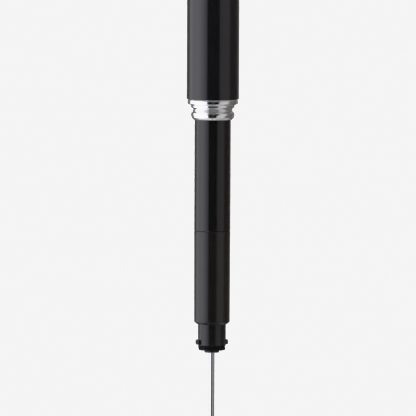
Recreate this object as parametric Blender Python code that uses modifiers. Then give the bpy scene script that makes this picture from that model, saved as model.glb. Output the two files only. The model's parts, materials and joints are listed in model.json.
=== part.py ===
"""Needle air-pump wine opener, as an assembly of separate pieces.

The needle is pushed through the cork until the hub rests on it. The handle then slides up and
down on the barrel: a piston on a rod drives air past a check valve and out of the needle's side
holes. The lower sleeve slides down the guide tube afterwards and pushes the cork off the needle.

Heights are measured along +Z from the cork's top face, which is the hub's lower face. The handle
stands at the top of its stroke and the ejector sleeve at the top of its travel.
"""

import math

import bmesh
import bpy
from mathutils import Matrix, Vector

MM = 0.001
MERGE = 0.00001
FINE = 32
COARSE = 24
SMALL = 16
RING_SIDES = 6
SHARP_ANGLE = math.radians(35)

# Clearances, each the gap between two radii or two faces.
FIXED_GAP = 0.05 * MM
RUNNING_GAP = 0.11 * MM
FACE_GAP = 0.1 * MM

# Needle and hub.
NEEDLE_LENGTH = 48.0 * MM
NEEDLE_RADIUS = 1.1 * MM
NEEDLE_BORE = 0.5 * MM
NEEDLE_POINT = 3.6 * MM
SIDE_HOLE_RADIUS = 0.35 * MM
SIDE_HOLE_HEIGHT = -42.0 * MM
HUB_RADIUS = 3.0 * MM
HUB_FLANGE = 2.2 * MM
HUB_SPIGOT_RADIUS = 2.3 * MM
HUB_HEIGHT = 9.0 * MM
GASKET_THICKNESS = 0.5 * MM

# Guide tube, on which the ejector rides.
GUIDE_RADIUS = 3.5 * MM
GUIDE_BORE = 1.4 * MM
GUIDE_BOTTOM = HUB_FLANGE + GASKET_THICKNESS + 2 * FACE_GAP
GUIDE_TOP = 54.0 * MM
STOP_GROOVE_HEIGHT = 9.8 * MM
STOP_GROOVE_WIDTH = 0.9 * MM
STOP_GROOVE_RADIUS = 3.05 * MM
STOP_RING_RADIUS = 4.2 * MM

# Ejector: nose, sleeve and bush.
NOSE_RADIUS = 5.6 * MM
NOSE_BOTTOM = 2.9 * MM
NOSE_BORE = 4.5 * MM
NOSE_LAND_TOP = 7.5 * MM
PAD_RADIUS = 5.4 * MM
PAD_BOTTOM = 1.0 * MM
LUG_RADIUS = 6.45 * MM
LUG_WIDTH = 3.2 * MM
LUG_TOP = 5.45 * MM
LUG_BOTTOM = 3.1 * MM
LUG_TURN = math.radians(20)
SLEEVE_BOTTOM = 11.45 * MM
SLEEVE_TOP = 49.0 * MM
SLEEVE_TOP_RADIUS = 7.25 * MM
SLEEVE_BOTTOM_RADIUS = 7.13 * MM
SLEEVE_CHAMFER = 0.9 * MM
SLEEVE_BORE = 6.0 * MM
BUSH_LENGTH = 6.2 * MM

# Barrel with its check valve.
BARREL_RADIUS = 7.25 * MM
BARREL_BORE = 6.25 * MM
BARREL_BOTTOM = 49.15 * MM
BARREL_TOP = 127.0 * MM
EDGE = 0.3 * MM
HOUSING_TOP = 64.0 * MM
CHAMBER_FLOOR = 55.6 * MM
CHAMBER_TOP = 61.0 * MM
CHAMBER_RADIUS = 2.6 * MM
POPPET_RADIUS = 2.2 * MM
SEAT_RADIUS = 4.15 * MM

# Piston and rod, at the top of the stroke.
ROD_RADIUS = 3.0 * MM
ROD_TOP = 190.0 * MM
PISTON_BOTTOM = 108.5 * MM
PISTON_HEIGHT = 9.3 * MM
PISTON_RADIUS = 6.1 * MM
SCREW_RADIUS = 1.45 * MM
SCREW_HOLE = 1.6 * MM

# Handle: collar, shell and end cap.
COLLAR_BOTTOM = 94.0 * MM
HANDLE_BOTTOM = 102.3 * MM
HANDLE_RADIUS = 10.5 * MM
HANDLE_BORE = 9.3 * MM
SHELL_TOP = 193.1 * MM
CAP_TOP = 200.2 * MM
DISC_RADIUS = 6.0 * MM

PALETTE = {
    "gloss_black": ((0.012, 0.012, 0.014), 0.16, 0.0),
    "anodised_black": ((0.015, 0.015, 0.017), 0.22, 0.3),
    "chrome": ((0.78, 0.79, 0.81), 0.06, 1.0),
    "aluminium": ((0.62, 0.63, 0.65), 0.3, 1.0),
    "steel": ((0.55, 0.56, 0.58), 0.22, 1.0),
    "black_steel": ((0.03, 0.03, 0.032), 0.35, 0.8),
    "acetal": ((0.72, 0.71, 0.67), 0.45, 0.0),
    "black_acetal": ((0.03, 0.03, 0.032), 0.45, 0.0),
    "rubber": ((0.02, 0.02, 0.02), 0.75, 0.0),
}


def clear_scene():
    for old in list(bpy.data.objects):
        bpy.data.objects.remove(old, do_unlink=True)


def new_collection(name):
    collection = bpy.data.collections.new(name)
    bpy.context.scene.collection.children.link(collection)
    return collection


def make_materials():
    """One Principled material for each finish in the palette."""
    made = {}
    for name, (colour, roughness, metallic) in PALETTE.items():
        material = bpy.data.materials.new(name)
        material.use_nodes = True
        shader = material.node_tree.nodes["Principled BSDF"]
        shader.inputs["Base Color"].default_value = (*colour, 1.0)
        shader.inputs["Roughness"].default_value = roughness
        shader.inputs["Metallic"].default_value = metallic
        made[name] = material
    return made


def add_piece(name, mesh, finish, height=0.0):
    """Links a mesh as a named piece standing at a height on the tool's axis."""
    piece = bpy.data.objects.new(name, mesh)
    piece.location = (0, 0, height)
    mesh.materials.append(materials[finish])
    pieces.objects.link(piece)
    return piece


def turned(name, finish, base, outline, segments=COARSE, closed=True):
    """A lathe-turned piece. The outline is (radius, height above base) pairs that run down the
    outer side and, on a piece with a hole through it, back up the inner side."""
    mesh = bpy.data.meshes.new(name)
    points = [(radius, 0, height) for radius, height in outline]
    edges = [(i, i + 1) for i in range(len(points) - 1)]
    if closed:
        edges.append((len(points) - 1, 0))
    mesh.from_pydata(points, edges, [])
    piece = add_piece(name, mesh, finish, base)
    screw = piece.modifiers.new("turn", "SCREW")
    screw.steps = segments
    screw.render_steps = segments
    screw.use_merge_vertices = True
    screw.merge_threshold = MERGE
    return piece


def solid_round(name, finish, base, outline, segments=COARSE):
    """A turned piece whose outline starts and ends on the axis."""
    return turned(name, finish, base, outline, segments, closed=False)


def tube(name, finish, bottom, top, outer, inner, edge=0.0, segments=COARSE):
    """A plain tube, with its two outer edges broken by a small chamfer."""
    length = top - bottom
    outline = [
        (inner, length),
        (outer - edge, length),
        (outer, length - edge),
        (outer, edge),
        (outer - edge, 0),
        (inner, 0),
    ]
    if not edge:
        outline = [(inner, length), (outer, length), (outer, 0), (inner, 0)]
    return turned(name, finish, bottom, outline, segments)


def seal_ring(name, height, groove, bore, squeeze=0.03 * MM):
    """An O-ring that fills the space between a groove's floor and a bore."""
    section = (bore - groove) / 2 - squeeze
    bpy.ops.mesh.primitive_torus_add(
        major_segments=COARSE,
        minor_segments=RING_SIDES,
        major_radius=(bore + groove) / 2,
        minor_radius=section,
        location=(0, 0, height),
    )
    ring = bpy.context.object
    ring.name = name
    ring.data.name = name
    ring.data.materials.append(materials["rubber"])
    for collection in list(ring.users_collection):
        collection.objects.unlink(ring)
    pieces.objects.link(ring)
    ring.data.shade_smooth()
    return ring


def add_cutter(name, mesh):
    cutter = bpy.data.objects.new(name, mesh)
    cutter.hide_render = True
    cutter.display_type = "WIRE"
    cutters.objects.link(cutter)
    return cutter


def round_cutter(name, radius, length, matrix, segments=12):
    """A cylinder, centred where the matrix puts it, that cuts a hole along its own Z axis."""
    mesh = bpy.data.meshes.new(name)
    shape = bmesh.new()
    bmesh.ops.create_cone(
        shape,
        cap_ends=True,
        segments=segments,
        radius1=radius,
        radius2=radius,
        depth=length,
        matrix=matrix,
    )
    shape.to_mesh(mesh)
    shape.free()
    return add_cutter(name, mesh)


def block_cutter(name, size, centre):
    mesh = bpy.data.meshes.new(name)
    shape = bmesh.new()
    bmesh.ops.create_cube(shape, size=1.0, matrix=Matrix.LocRotScale(centre, None, size))
    shape.to_mesh(mesh)
    shape.free()
    return add_cutter(name, mesh)


def boolean(piece, other, operation="DIFFERENCE"):
    modifier = piece.modifiers.new(other.name, "BOOLEAN")
    modifier.operation = operation
    modifier.object = other
    modifier.solver = "EXACT"


def ride(parent_name, height, members):
    """Parents moving pieces to an empty that stands on their joint's axis."""
    empty = bpy.data.objects.new(parent_name, None)
    empty.location = (0, 0, height)
    empty.empty_display_size = 0.01
    pieces.objects.link(empty)
    for piece in members:
        piece.parent = empty
        piece.location.z -= height


def make_needle():
    """Hollow needle, closed at its point, with a cross hole near the tip for the air."""
    top = HUB_HEIGHT - 0.5 * MM
    bore_end = NEEDLE_LENGTH - NEEDLE_POINT - 0.5 * MM
    needle = solid_round(
        "needle",
        "steel",
        0,
        [
            (0, -bore_end),
            (NEEDLE_BORE, -bore_end),
            (NEEDLE_BORE, top),
            (NEEDLE_RADIUS, top),
            (NEEDLE_RADIUS, NEEDLE_POINT - NEEDLE_LENGTH),
            (0.3 * NEEDLE_RADIUS, 0.2 * NEEDLE_POINT - NEEDLE_LENGTH),
            (0, -NEEDLE_LENGTH),
        ],
        SMALL,
    )
    across = Matrix.Translation((0, 0, SIDE_HOLE_HEIGHT)) @ Matrix.Rotation(math.pi / 2, 4, "Y")
    boolean(needle, round_cutter("side_hole", SIDE_HOLE_RADIUS, 4 * NEEDLE_RADIUS, across))


def make_needle_hub():
    """Threaded hub that carries the needle, and the gasket between it and the guide tube."""
    bore = NEEDLE_RADIUS + FIXED_GAP
    turned(
        "needle_hub",
        "black_steel",
        0,
        [
            (bore, HUB_HEIGHT),
            (HUB_SPIGOT_RADIUS - EDGE, HUB_HEIGHT),
            (HUB_SPIGOT_RADIUS, HUB_HEIGHT - EDGE),
            (HUB_SPIGOT_RADIUS, HUB_FLANGE),
            (HUB_RADIUS, HUB_FLANGE),
            (HUB_RADIUS, EDGE),
            (HUB_RADIUS - EDGE, 0),
            (bore, 0),
        ],
    )
    bottom = HUB_FLANGE + FACE_GAP
    outer = GUIDE_RADIUS - 0.2 * MM
    inner = HUB_SPIGOT_RADIUS + FIXED_GAP
    tube("hub_gasket", "rubber", bottom, bottom + GASKET_THICKNESS, outer, inner)


def make_guide_tube():
    """Air tube from the valve to the hub. The ejector's stop ring sits in its groove."""
    length = GUIDE_TOP - GUIDE_BOTTOM
    groove_top = STOP_GROOVE_HEIGHT - GUIDE_BOTTOM
    groove_bottom = groove_top - STOP_GROOVE_WIDTH
    thread_radius = HUB_SPIGOT_RADIUS + 2 * FIXED_GAP
    thread_end = HUB_HEIGHT + 4 * FACE_GAP - GUIDE_BOTTOM
    turned(
        "guide_tube",
        "aluminium",
        GUIDE_BOTTOM,
        [
            (GUIDE_BORE, length),
            (GUIDE_RADIUS - EDGE, length),
            (GUIDE_RADIUS, length - EDGE),
            (GUIDE_RADIUS, groove_top),
            (STOP_GROOVE_RADIUS, groove_top),
            (STOP_GROOVE_RADIUS, groove_bottom),
            (GUIDE_RADIUS, groove_bottom),
            (GUIDE_RADIUS, EDGE),
            (GUIDE_RADIUS - EDGE, 0),
            (thread_radius, 0),
            (thread_radius, thread_end),
            (GUIDE_BORE, thread_end),
        ],
    )


def make_stop_ring():
    """Open spring ring in the guide tube's groove, which ends the ejector's travel."""
    top = STOP_GROOVE_HEIGHT - FIXED_GAP
    bottom = STOP_GROOVE_HEIGHT - STOP_GROOVE_WIDTH + FIXED_GAP
    inner = STOP_GROOVE_RADIUS + FIXED_GAP
    ring = tube("stop_ring", "steel", bottom, top, STOP_RING_RADIUS, inner)
    mouth = block_cutter(
        "stop_ring_mouth",
        Vector((2 * STOP_RING_RADIUS, 2.4 * MM, 4 * STOP_GROOVE_WIDTH)),
        Vector((STOP_RING_RADIUS, 0, bottom)),
    )
    boolean(ring, mouth)


def lug_mesh(name):
    """One lug, as a prism that stands out of the nose: a block with rounded upper and lower edges."""
    root = NOSE_RADIUS - 0.6 * MM
    middle = (LUG_TOP + LUG_BOTTOM) / 2
    half = (LUG_TOP - LUG_BOTTOM) / 2
    side = [
        (root, LUG_TOP),
        (NOSE_RADIUS + 0.1 * MM, LUG_TOP),
        (LUG_RADIUS - 0.2 * MM, middle + 0.9 * half),
        (LUG_RADIUS, middle + 0.65 * half),
        (LUG_RADIUS, middle - 0.65 * half),
        (LUG_RADIUS - 0.2 * MM, middle - 0.9 * half),
        (NOSE_RADIUS + 0.1 * MM, LUG_BOTTOM),
        (root, LUG_BOTTOM),
    ]
    shape = bmesh.new()
    corners = [shape.verts.new((radius, -LUG_WIDTH / 2, height)) for radius, height in side]
    face = shape.faces.new(corners)
    grown = bmesh.ops.extrude_face_region(shape, geom=[face])
    moved = [item for item in grown["geom"] if isinstance(item, bmesh.types.BMVert)]
    bmesh.ops.translate(shape, verts=moved, vec=(0, LUG_WIDTH, 0))
    bmesh.ops.recalc_face_normals(shape, faces=shape.faces)
    mesh = bpy.data.meshes.new(name)
    shape.to_mesh(mesh)
    shape.free()
    return mesh


def make_nose():
    """Lower end of the ejector, with the two lugs that hold the needle's cap in storage."""
    spigot = SLEEVE_BORE - FIXED_GAP
    shoulder = SLEEVE_BOTTOM + 1.5 * MM
    top = shoulder + 6.5 * MM
    land = GUIDE_RADIUS + RUNNING_GAP
    groove = (4.1 * MM, 4.9 * MM)
    groove_top = NOSE_BOTTOM + 1.4 * MM
    outline = [
        (NOSE_BORE, top),
        (spigot, top),
        (spigot, shoulder),
        (NOSE_RADIUS, shoulder),
        (NOSE_RADIUS, NOSE_BOTTOM),
        (groove[1], NOSE_BOTTOM),
        (groove[1], groove_top),
        (groove[0], groove_top),
        (groove[0], NOSE_BOTTOM),
        (land, NOSE_BOTTOM),
        (land, NOSE_LAND_TOP),
        (NOSE_BORE, NOSE_LAND_TOP),
    ]
    base = NOSE_BOTTOM
    nose = turned("nose", "gloss_black", base, [(r, h - base) for r, h in outline], FINE)
    for side in range(2):
        lug = add_cutter(f"lug_{side}", lug_mesh(f"lug_{side}"))
        lug.rotation_euler.z = LUG_TURN + side * math.pi
        boolean(nose, lug, "UNION")

    pad_top = NOSE_BOTTOM - FIXED_GAP
    tongue = (groove[0] + FIXED_GAP, groove[1] - FIXED_GAP)
    pad_outline = [
        (land + 2 * FIXED_GAP, pad_top),
        (tongue[0], pad_top),
        (tongue[0], groove_top - FACE_GAP),
        (tongue[1], groove_top - FACE_GAP),
        (tongue[1], pad_top),
        (PAD_RADIUS, pad_top),
        (PAD_RADIUS, PAD_BOTTOM + EDGE),
        (PAD_RADIUS - EDGE, PAD_BOTTOM),
        (land + 2 * FIXED_GAP, PAD_BOTTOM),
    ]
    base = PAD_BOTTOM
    pad = turned("nose_pad", "rubber", base, [(r, h - base) for r, h in pad_outline], FINE)
    return [nose, pad]


def make_ejector_sleeve():
    """Gripped sleeve with a slight draft. A lip at its foot holds the nose."""
    length = SLEEVE_TOP - SLEEVE_BOTTOM
    lip_bore = NOSE_RADIUS + FIXED_GAP
    lip_top = 1.4 * MM
    return turned(
        "ejector_sleeve",
        "gloss_black",
        SLEEVE_BOTTOM,
        [
            (SLEEVE_BORE, length),
            (SLEEVE_TOP_RADIUS - EDGE, length),
            (SLEEVE_TOP_RADIUS, length - EDGE),
            (SLEEVE_BOTTOM_RADIUS, SLEEVE_CHAMFER),
            (SLEEVE_BOTTOM_RADIUS - EDGE, 0.6 * SLEEVE_CHAMFER),
            (lip_bore + EDGE, 0),
            (lip_bore, 0),
            (lip_bore, lip_top),
            (SLEEVE_BORE, lip_top),
        ],
        FINE,
    )


def make_sleeve_bush():
    """Bush that guides the ejector on the tube, with the O-ring that gives it some drag."""
    bore = GUIDE_RADIUS + RUNNING_GAP
    outer = SLEEVE_BORE - 2 * FIXED_GAP
    groove = 4.55 * MM
    groove_bottom, groove_top = 2.2 * MM, 3.6 * MM
    base = SLEEVE_TOP - FACE_GAP - BUSH_LENGTH
    bush = turned(
        "sleeve_bush",
        "acetal",
        base,
        [
            (bore, BUSH_LENGTH),
            (outer, BUSH_LENGTH),
            (outer, 0),
            (bore, 0),
            (bore, groove_bottom),
            (groove, groove_bottom),
            (groove, groove_top),
            (bore, groove_top),
        ],
    )
    ring_height = base + (groove_bottom + groove_top) / 2
    ring = seal_ring("drag_ring", ring_height, GUIDE_RADIUS + 0.04 * MM, groove)
    return [bush, ring]


def make_barrel():
    ends = (BARREL_BOTTOM, BARREL_TOP)
    tube("barrel", "anodised_black", *ends, BARREL_RADIUS, BARREL_BORE, EDGE, FINE)


def make_valve_housing():
    """Plug in the barrel's foot. It joins the guide tube and holds the check valve."""
    outer = BARREL_BORE - FIXED_GAP
    groove = 5.15 * MM
    groove_bottom, groove_top = 57.2 * MM, 58.8 * MM
    tube_bore = GUIDE_RADIUS + FIXED_GAP
    tube_end = GUIDE_TOP + 4 * FACE_GAP
    passage = 1.0 * MM
    seat_bore = SEAT_RADIUS + FIXED_GAP
    outline = [
        (seat_bore, HOUSING_TOP),
        (outer - EDGE, HOUSING_TOP),
        (outer, HOUSING_TOP - EDGE),
        (outer, groove_top),
        (groove, groove_top),
        (groove, groove_bottom),
        (outer, groove_bottom),
        (outer, BARREL_BOTTOM),
        (tube_bore, BARREL_BOTTOM),
        (tube_bore, tube_end),
        (passage, tube_end),
        (passage, CHAMBER_FLOOR),
        (CHAMBER_RADIUS, CHAMBER_FLOOR),
        (CHAMBER_RADIUS, CHAMBER_TOP),
        (seat_bore, CHAMBER_TOP),
    ]
    base = BARREL_BOTTOM
    turned("valve_housing", "aluminium", base, [(r, h - base) for r, h in outline], FINE)
    seal_ring("housing_ring", (groove_bottom + groove_top) / 2, groove, BARREL_BORE)


def make_check_valve():
    """Poppet with a rubber face, held up against its seat by a spring."""
    seal_thickness = 0.4 * MM
    disc_top = CHAMBER_TOP - seal_thickness - FACE_GAP
    disc_bottom = disc_top - 1.2 * MM
    stem_radius = POPPET_RADIUS / 2
    stem_length = 2.1 * MM
    poppet = solid_round(
        "valve_poppet",
        "black_acetal",
        disc_bottom - stem_length,
        [
            (0, disc_top - disc_bottom + stem_length),
            (POPPET_RADIUS, disc_top - disc_bottom + stem_length),
            (POPPET_RADIUS, stem_length),
            (stem_radius, stem_length),
            (stem_radius, 0),
            (0, 0),
        ],
        SMALL,
    )
    seal_base = disc_top + FIXED_GAP
    seal = solid_round(
        "poppet_seal",
        "rubber",
        seal_base,
        [(0, seal_thickness), (2.0 * MM, seal_thickness), (2.0 * MM, 0), (0, 0)],
        SMALL,
    )
    seat_hole = 1.2 * MM
    seat_top = HOUSING_TOP - 0.4 * MM
    tube("valve_seat", "aluminium", CHAMBER_TOP + FIXED_GAP, seat_top, SEAT_RADIUS, seat_hole)
    make_spring(CHAMBER_FLOOR + FIXED_GAP, disc_bottom - FIXED_GAP)
    ride("valve_axis", disc_bottom, [poppet, seal])


def make_spring(bottom, top):
    """Compression spring, a helix between two heights."""
    wire = 0.18 * MM
    mean_radius = 1.65 * MM
    turns = 4
    points_per_turn = 12
    count = int(turns * points_per_turn) + 1
    curve = bpy.data.curves.new("valve_spring", "CURVE")
    curve.dimensions = "3D"
    curve.bevel_depth = wire
    curve.bevel_resolution = 2
    curve.use_fill_caps = True
    spline = curve.splines.new("POLY")
    spline.points.add(count - 1)
    rise = top - bottom - 2 * wire
    for i, point in enumerate(spline.points):
        share = i / (count - 1)
        angle = 2 * math.pi * turns * share
        height = bottom + wire + rise * share
        point.co = (mean_radius * math.cos(angle), mean_radius * math.sin(angle), height, 1)
    spring = bpy.data.objects.new("valve_spring", curve)
    curve.materials.append(materials["steel"])
    pieces.objects.link(spring)


def make_barrel_gland():
    """Top plug of the barrel, which guides the rod. Its holes let air in above the piston."""
    flange_radius = BARREL_RADIUS - 0.15 * MM
    spigot = BARREL_BORE - 2 * FIXED_GAP
    spigot_length = 7.5 * MM
    flange = 1.7 * MM
    bore = ROD_RADIUS + RUNNING_GAP
    base = BARREL_TOP + FACE_GAP - spigot_length
    gland = turned(
        "barrel_gland",
        "acetal",
        base,
        [
            (bore, spigot_length + flange),
            (flange_radius - EDGE, spigot_length + flange),
            (flange_radius, spigot_length + flange - EDGE),
            (flange_radius, spigot_length),
            (spigot, spigot_length),
            (spigot, 0),
            (bore, 0),
        ],
    )
    vents = 4
    for i in range(vents):
        angle = 2 * math.pi * (i + 0.5) / vents
        place = Vector((4.8 * MM * math.cos(angle), 4.8 * MM * math.sin(angle), base))
        boolean(gland, round_cutter(f"vent_{i}", 0.6 * MM, 40 * MM, Matrix.Translation(place)))
    bumper_top = base - FACE_GAP
    tube("gland_bumper", "rubber", bumper_top - 1.3 * MM, bumper_top, 4.0 * MM, bore + FIXED_GAP)


def make_cap_screw(name, head_bottom, head_radius, head_height, shank, upright):
    """Socket-head screw on the axis, with its head at the top if it stands upright."""
    socket_depth = 0.55 * head_height
    screw = solid_round(
        name,
        "steel",
        head_bottom,
        [
            (0, head_height),
            (head_radius, head_height),
            (head_radius, 0),
            (SCREW_RADIUS, 0),
            (SCREW_RADIUS, -shank),
            (0, -shank),
        ],
        SMALL,
    )
    place = Matrix.Translation((0, 0, head_height))
    socket = round_cutter(f"{name}_socket", 0.42 * head_radius, 2 * socket_depth, place, 6)
    socket.parent = screw
    boolean(screw, socket)
    if not upright:
        screw.rotation_euler.x = math.pi
        screw.location.z = head_bottom + head_height
    return screw


def make_piston():
    """Piston screwed to the foot of the rod. Its O-ring floats in a wide groove: it seals against
    the upper side on the way down, and on the way up it lets air in through the lower notches.
    Returns the pieces fixed to the rod, and the ring by itself."""
    groove = 4.85 * MM
    groove_bottom, groove_top = 2.9 * MM, 5.1 * MM
    counterbore = (2.9 * MM, 1.8 * MM)
    piston = turned(
        "piston",
        "acetal",
        PISTON_BOTTOM,
        [
            (SCREW_HOLE, PISTON_HEIGHT),
            (PISTON_RADIUS - EDGE, PISTON_HEIGHT),
            (PISTON_RADIUS, PISTON_HEIGHT - EDGE),
            (PISTON_RADIUS, groove_top),
            (groove, groove_top),
            (groove, groove_bottom),
            (PISTON_RADIUS, groove_bottom),
            (PISTON_RADIUS, EDGE),
            (PISTON_RADIUS - EDGE, 0),
            (counterbore[0], 0),
            (counterbore[0], counterbore[1]),
            (SCREW_HOLE, counterbore[1]),
        ],
    )
    notches = 4
    for i in range(notches):
        notch = block_cutter(
            f"notch_{i}",
            Vector((2.0 * MM, 1.8 * MM, groove_bottom + groove_top)),
            Vector((PISTON_RADIUS, 0, PISTON_BOTTOM)),
        )
        notch.rotation_euler.z = 2 * math.pi * (i + 0.5) / notches
        boolean(piston, notch)
    ring_height = PISTON_BOTTOM + (groove_bottom + groove_top) / 2
    ring = seal_ring("piston_ring", ring_height, groove, BARREL_BORE, 0.06 * MM)

    rod_bottom = PISTON_BOTTOM + PISTON_HEIGHT + FACE_GAP
    length = ROD_TOP - rod_bottom
    hole = SCREW_RADIUS + 2 * FIXED_GAP
    foot_hole, head_hole = 8.5 * MM, 10.0 * MM
    rod = solid_round(
        "piston_rod",
        "aluminium",
        rod_bottom,
        [
            (0, length - head_hole),
            (hole, length - head_hole),
            (hole, length),
            (ROD_RADIUS - EDGE, length),
            (ROD_RADIUS, length - EDGE),
            (ROD_RADIUS, EDGE),
            (ROD_RADIUS - EDGE, 0),
            (hole, 0),
            (hole, foot_hole),
            (0, foot_hole),
        ],
        24,
    )
    head = 1.6 * MM
    screw_head = PISTON_BOTTOM + counterbore[1] - FACE_GAP - head
    screw = make_cap_screw("piston_screw", screw_head, 2.6 * MM, head, 15.0 * MM, False)
    return [piston, rod, screw], ring


def make_collar():
    """Turned chrome collar with its grooves, and the bush inside it that runs on the barrel."""
    bore = BARREL_RADIUS + RUNNING_GAP + FIXED_GAP
    bush_radius = 8.3 * MM
    bush_bottom = 6.0 * MM
    flange = HANDLE_BOTTOM - FACE_GAP - COLLAR_BOTTOM
    spigot = HANDLE_BORE - 2 * FIXED_GAP
    top = 17.0 * MM
    collar = turned(
        "chrome_collar",
        "chrome",
        COLLAR_BOTTOM,
        [
            (bush_radius + FIXED_GAP, top),
            (spigot, top),
            (spigot, flange),
            (9.95 * MM, flange),
            (10.1 * MM, flange - 0.15 * MM),
            (10.1 * MM, 6.7 * MM),
            (9.85 * MM, 6.3 * MM),
            (8.8 * MM, 5.9 * MM),
            (8.7 * MM, 5.7 * MM),
            (8.7 * MM, 4.75 * MM),
            (8.45 * MM, 4.5 * MM),
            (8.0 * MM, 4.4 * MM),
            (7.9 * MM, 4.2 * MM),
            (7.9 * MM, 3.5 * MM),
            (8.05 * MM, 3.25 * MM),
            (8.5 * MM, 3.0 * MM),
            (8.7 * MM, 2.6 * MM),
            (8.7 * MM, 1.8 * MM),
            (8.4 * MM, 0.35 * MM),
            (7.75 * MM, 0),
            (bore, 0),
            (bore, bush_bottom),
            (bush_radius + FIXED_GAP, bush_bottom),
        ],
        FINE,
    )
    bush_base = COLLAR_BOTTOM + bush_bottom + FACE_GAP
    bush_length = top - bush_bottom + 1.3 * MM
    bush_bore = BARREL_RADIUS + RUNNING_GAP
    flange_height = top - bush_bottom
    bush = turned(
        "collar_bush",
        "black_acetal",
        bush_base,
        [
            (bush_bore, bush_length),
            (spigot - EDGE, bush_length),
            (spigot - EDGE, flange_height),
            (bush_radius, flange_height),
            (bush_radius, 0),
            (bush_bore, 0),
        ],
        FINE,
    )
    return [collar, bush]


def make_end_cap():
    """Domed cap plugged into the handle's top, with a socket for the rod and a badge disc."""
    spigot_bottom = 184.0 * MM
    spigot = HANDLE_BORE - 2 * FIXED_GAP
    boss_radius = 5.0 * MM
    web_bottom, web_top = 190.1 * MM, 192.0 * MM
    screw_well = 3.3 * MM
    seat_height = 199.0 * MM
    seat_radius = DISC_RADIUS + 2 * FIXED_GAP
    rim_height = SHELL_TOP + FACE_GAP
    dome_start = 196.2 * MM
    dome_radius = CAP_TOP - dome_start
    dome = [
        (
            HANDLE_RADIUS - dome_radius * (1 - math.cos(angle)),
            dome_start + dome_radius * math.sin(angle),
        )
        for angle in [math.radians(step) for step in range(90, -1, -18)]
    ]
    outline = [
        (seat_radius, CAP_TOP),
        *dome,
        (HANDLE_RADIUS, rim_height),
        (spigot, rim_height),
        (spigot, spigot_bottom),
        (spigot - 1.3 * MM, spigot_bottom),
        (spigot - 1.3 * MM, web_bottom),
        (boss_radius, web_bottom),
        (boss_radius, spigot_bottom),
        (ROD_RADIUS + RUNNING_GAP, spigot_bottom),
        (ROD_RADIUS + RUNNING_GAP, web_bottom),
        (SCREW_HOLE, web_bottom),
        (SCREW_HOLE, web_top),
        (screw_well, web_top),
        (screw_well, seat_height),
        (seat_radius, seat_height),
    ]
    cap = turned(
        "end_cap",
        "gloss_black",
        spigot_bottom,
        [(r, h - spigot_bottom) for r, h in outline],
        FINE,
    )
    thickness = CAP_TOP + 2 * FACE_GAP - seat_height
    disc = solid_round(
        "cap_disc",
        "chrome",
        seat_height + FACE_GAP,
        [
            (0, thickness),
            (DISC_RADIUS - EDGE, thickness),
            (DISC_RADIUS, thickness - EDGE),
            (DISC_RADIUS, 0),
            (0, 0),
        ],
        FINE,
    )
    screw = make_cap_screw("rod_screw", web_top + FACE_GAP, 2.8 * MM, 2.4 * MM, 10.0 * MM, True)
    return [cap, disc, screw]


def make_handle():
    ends = (HANDLE_BOTTOM, SHELL_TOP)
    edge = 0.15 * MM
    shell = tube("handle_shell", "gloss_black", *ends, HANDLE_RADIUS, HANDLE_BORE, edge, FINE)
    return [shell, *make_collar(), *make_end_cap()]


def shade(piece):
    """Smooth shading that keeps the turned edges crisp."""
    if piece.type == "MESH":
        piece.data.shade_smooth()
        piece.data.set_sharp_from_angle(angle=SHARP_ANGLE)


clear_scene()
pieces = new_collection("wine_opener")
cutters = new_collection("cutters")
materials = make_materials()

make_needle()
make_needle_hub()
make_guide_tube()
make_stop_ring()
make_valve_housing()
make_check_valve()
make_barrel()
make_barrel_gland()
rod_pieces, floating_ring = make_piston()
ride("piston_axis", PISTON_BOTTOM, rod_pieces)
ride("floating_ring_axis", PISTON_BOTTOM, [floating_ring])
ride("handle_axis", COLLAR_BOTTOM, make_handle())
ride("bush_axis", SLEEVE_TOP, make_sleeve_bush())
ride("ejector_axis", SLEEVE_BOTTOM, [make_ejector_sleeve(), *make_nose()])

for each in pieces.objects:
    shade(each)
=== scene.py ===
"""Looks of the needle air-pump wine opener: finely turned pieces, finishes, studio and camera.

Outlines are in millimetres: (radius, height above the node's lowest point), with the radius of
the corner's rounding as a third value where it has one. They run down the outer side and back up
the bore, and a piece with no hole through it starts and ends on the axis.
"""

import json
import math

import bmesh
import bpy
from mathutils import Matrix, Vector

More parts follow.
